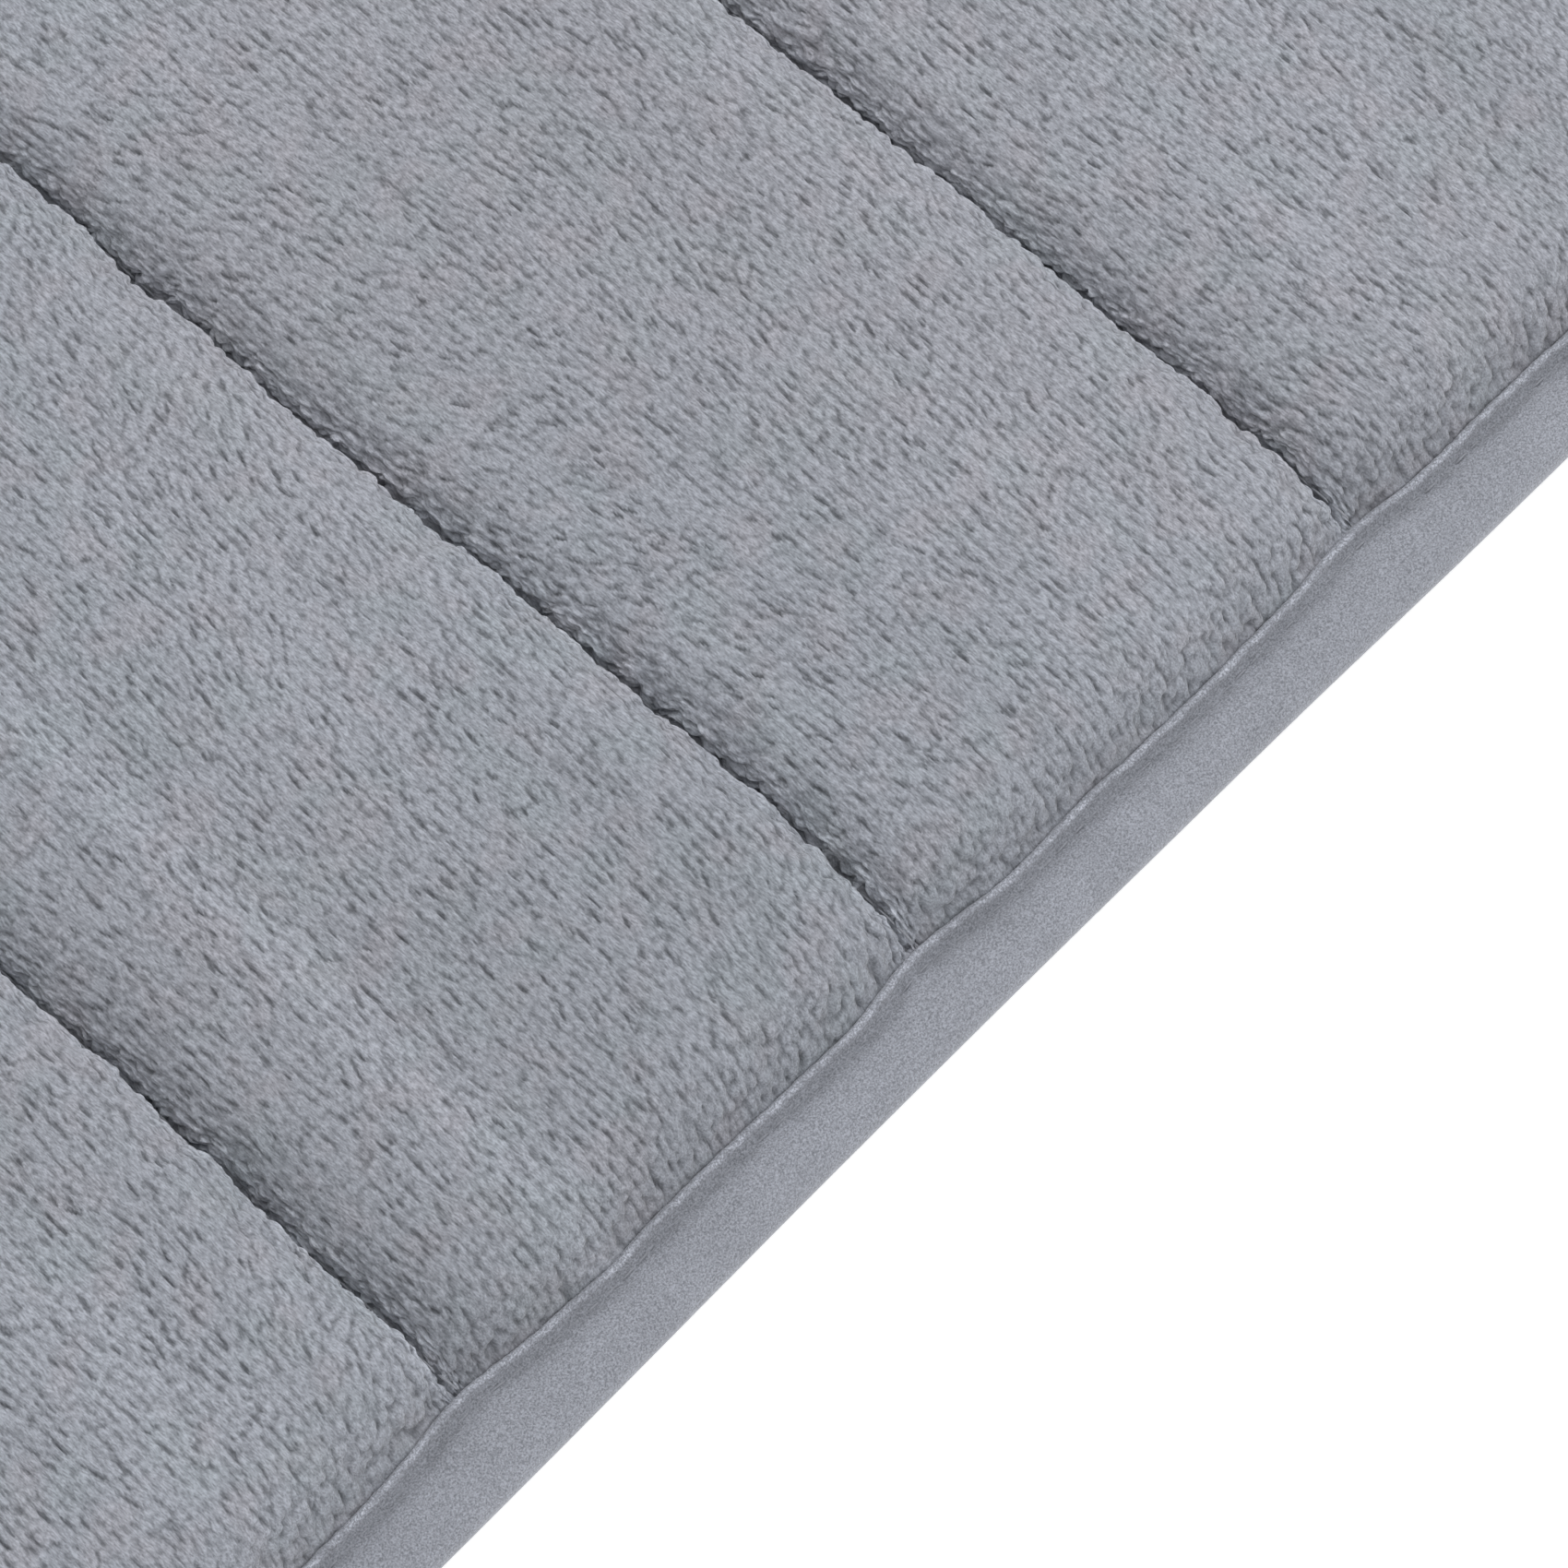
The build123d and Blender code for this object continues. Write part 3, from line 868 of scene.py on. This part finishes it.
def pile_material():
    """Plush microfibre: a cool grey with painted shade between the tufts, painted highlights and shade across
    the panels, and faint warm and cool patches.
    """
    s = Shader("plush_pile", 0.95, sheen=0.2, sheen_roughness=0.45, specular=0.1)
    base, warm, cool = (0.180, 0.190, 0.213), (0.199, 0.188, 0.205), (0.167, 0.191, 0.206)
    patches = s.remap(s.noise(130, 1), 0.50, 0.66, 0, 0.28)
    tinted = s.blend(patches, base, warm)
    patches = s.remap(s.noise(100, 1, place=s.stretched((1, 1, 1), 1.1)), 0.50, 0.66, 0, 0.3)
    tinted = s.blend(patches, tinted, cool)
    tinted = s.blend(s.remap(s.noise(7, 1), 0.45, 0.6, 0, 0.2), tinted, warm)
    # Painted shade in the hollows, cracks and creases, and a slight painted highlight on the tufts' tips.
    depth = s.remap(s.attribute("painted_hollow_shade"), 0.1, 1.0, 1.10, 0.55)
    fibres = s.noise(1, 2, 0.6, s.stretched((4200, 1300, 3000), 0.1))
    fluff = s.remap(fibres, 0.3, 0.7, 0.66, 1.34)
    # Painted highlights and shade across the panels, over the pile's random streaks, scale the colour here.
    share = s.math("MULTIPLY", s.math("MULTIPLY", depth, fluff), s.attribute("nap_tone_and_painted_light"))
    s.colour(s.scaled(tinted, share))
    s.bump(fibres, 0.2 * MM, 0.8)
    return s.material


def tape_material():
    """Brushed knitted tape: a fine knit under a short raised nap, with painted shade in the stitched valley
    and painted highlights on the ridge.
    """
    s = Shader("binding_knit", 0.9, sheen=0.2, sheen_roughness=0.5, specular=0.15)
    base = (0.168, 0.176, 0.199)
    nap_tone_and_painted_light = s.noise(3700, 2, 0.65)
    speckle = s.remap(nap_tone_and_painted_light, 0.34, 0.66, 0.62, 1.38)
    # Painted shade in the valley, painted highlight on the ridge.
    valley_shade_and_ridge_highlight = s.remap(s.attribute("valley_shade_and_ridge_highlight"), -1.0, 1.0, 1.22, 0.78)
    worn = s.remap(s.noise(120, 2), 0.36, 0.64, 0.96, 1.04)
    # A painted glint along the ridge's top.
    on_ridge = s.remap(s.attribute("valley_shade_and_ridge_highlight"), -0.25, -0.8, 0, 1)
    painted_ridge_glint = s.math("MULTIPLY", on_ridge, s.remap(nap_tone_and_painted_light, 0.50, 0.64, 0, 0.35))
    share = s.math("MULTIPLY", s.math("MULTIPLY", speckle, valley_shade_and_ridge_highlight), worn)
    s.colour(s.scaled(base, s.math("ADD", share, painted_ridge_glint)))
    s.bump(nap_tone_and_painted_light, 0.16 * MM, 0.8)
    return s.material


def thread_material():
    """Twisted polyester thread, painted as dark as the tape's painted valley shade that the stitches lie in.
    """
    s = Shader("sewing_thread", 0.6, sheen=0.1, specular=0.4)
    twist = s.noise(1, 1, 0.5, s.stretched((2500, 2500, 2500), 0.6))
    s.colour(s.blend(s.remap(twist, 0.35, 0.65, 0, 1), (0.118, 0.124, 0.140), (0.154, 0.161, 0.182)))
    s.bump(twist, 0.05 * MM, 0.6)
    return s.material


def backing_material():
    """Plain knitted backing cloth: fine wales along the mat's length."""
    s = Shader("backing_knit", 0.85, sheen=0.1, specular=0.2)
    wales = s.add("ShaderNodeTexWave", wave_type="BANDS", bands_direction="X")
    s.link(s.stretched((1, 1, 1)), wales.inputs["Vector"])
    wales.inputs["Scale"].default_value = 260
    wales.inputs["Distortion"].default_value = 1.5
    wales.inputs["Detail"].default_value = 1.0
    courses = s.add("ShaderNodeTexWave", wave_type="BANDS", bands_direction="Y")
    s.link(s.stretched((1, 1, 1)), courses.inputs["Vector"])
    courses.inputs["Scale"].default_value = 210
    courses.inputs["Distortion"].default_value = 2.0
    weave = s.math("MULTIPLY", wales.outputs["Fac"], courses.outputs["Fac"])
    s.colour(s.blend(weave, (0.17, 0.18, 0.20), (0.27, 0.28, 0.305)))
    s.bump(weave, 0.15 * MM, 0.7)
    return s.material


def dot_material():
    """Soft PVC: pale grey, a little glossy."""
    s = Shader("grip_pvc", 0.45, specular=0.5)
    clouds = s.remap(s.noise(420, 3), 0.35, 0.65, 0, 1)
    s.colour(s.blend(clouds, (0.36, 0.375, 0.40), (0.43, 0.44, 0.46)))
    s.bump(s.noise(1500, 2), 0.04 * MM, 0.5)
    return s.material


def foam_material():
    """Open-cell foam: cream, pitted with small round cells."""
    s = Shader("foam", 0.95, specular=0.2)
    cells = s.add("ShaderNodeTexVoronoi")
    cells.inputs["Scale"].default_value = 900
    s.link(s.place, cells.inputs["Vector"])
    pits = s.remap(cells.outputs["Distance"], 0.1, 0.6, 0, 1)
    s.colour(s.blend(pits, (0.52, 0.49, 0.41), (0.78, 0.75, 0.66)))
    s.bump(pits, 0.3 * MM, 0.8)
    return s.material


def floor_material():
    """A plain pale studio floor, faintly lit from below like a light table."""
    s = Shader("studio_floor", 0.9, specular=0.1)
    tone = s.remap(s.noise(3, 2), 0.3, 0.7, 0, 1)
    s.colour(s.blend(tone, (0.95, 0.95, 0.95), (0.97, 0.97, 0.97)))
    s.surface.inputs["Emission Color"].default_value = (1, 1, 1, 1)
    s.surface.inputs["Emission Strength"].default_value = 0.25
    return s.material


# ---------------------------------------------------------------------------------------------------------
# Camera, light and floor
# ---------------------------------------------------------------------------------------------------------
def direction(azimuth, elevation):
    """The way from the object towards a camera or lamp; azimuth 0 is the -Y side."""
    a, e = math.radians(azimuth), math.radians(elevation)
    return Vector((math.sin(a) * math.cos(e), -math.cos(a) * math.cos(e), math.sin(e)))


def make_camera():
    """A close view down onto the middle of the near long edge."""
    target = Vector((-37 * MM, -160.8 * MM, 12 * MM))
    distance = 950 * MM
    shown_width = 200.5 * MM
    data = bpy.data.cameras.new("camera")
    data.sensor_width = 36
    data.lens = 36 * distance / shown_width
    data.clip_start, data.clip_end = 0.01, 50
    camera = bpy.data.objects.new("camera", data)
    toward = direction(-46.6, 65.0)
    camera.location = target + toward * distance
    camera.rotation_mode = "QUATERNION"
    camera.rotation_quaternion = (-toward).to_track_quat("-Z", "Y")
    bpy.context.collection.objects.link(camera)
    bpy.context.scene.camera = camera


def make_lamp(name, azimuth, elevation, distance, size, power):
    """A large soft square lamp that faces the mat."""
    data = bpy.data.lights.new(name, "AREA")
    data.shape = "SQUARE"
    data.size = size
    data.energy = power
    lamp = bpy.data.objects.new(name, data)
    toward = direction(azimuth, elevation)
    lamp.location = toward * distance
    lamp.rotation_mode = "QUATERNION"
    lamp.rotation_quaternion = toward.to_track_quat("Z", "Y")
    lamp.visible_camera = False
    bpy.context.collection.objects.link(lamp)


def make_studio():
    """The floor, the pale surroundings and the lamps."""
    size = 12.0
    corners = [(-size, -size, 0), (size, -size, 0), (size, size, 0), (-size, size, 0)]
    floor = build_mesh("studio_floor", corners, [(0, 1, 2, 3)])
    floor.data.materials.append(floor_material())
    world = bpy.data.worlds.new("studio")
    world.use_nodes = True
    world.node_tree.nodes["Background"].inputs["Color"].default_value = (1.0, 1.0, 1.0, 1)
    world.node_tree.nodes["Background"].inputs["Strength"].default_value = 1.15
    bpy.context.scene.world = world
    make_lamp("side_light", 102, 48, 1.5, 0.9, 19)
    make_lamp("front_light", -45, 28, 2.4, 1.6, 20)
    bpy.context.scene.view_settings.view_transform = "Standard"


make_camera()
make_studio()
thread = thread_material()
make_cover(pile_material())
make_foam(foam_material())
make_backing(backing_material())
frames = make_binding(tape_material())
binding_stitches(frames, "binding_needle_thread", True, thread)
binding_stitches(frames, "binding_bobbin_thread", False, thread)
for number in range(len(seam_places)):
    seam_stitches(number, needle_nodes[number], True, thread)
    seam_stitches(number, bobbin_nodes[number], False, thread)
make_dots(dot_material())
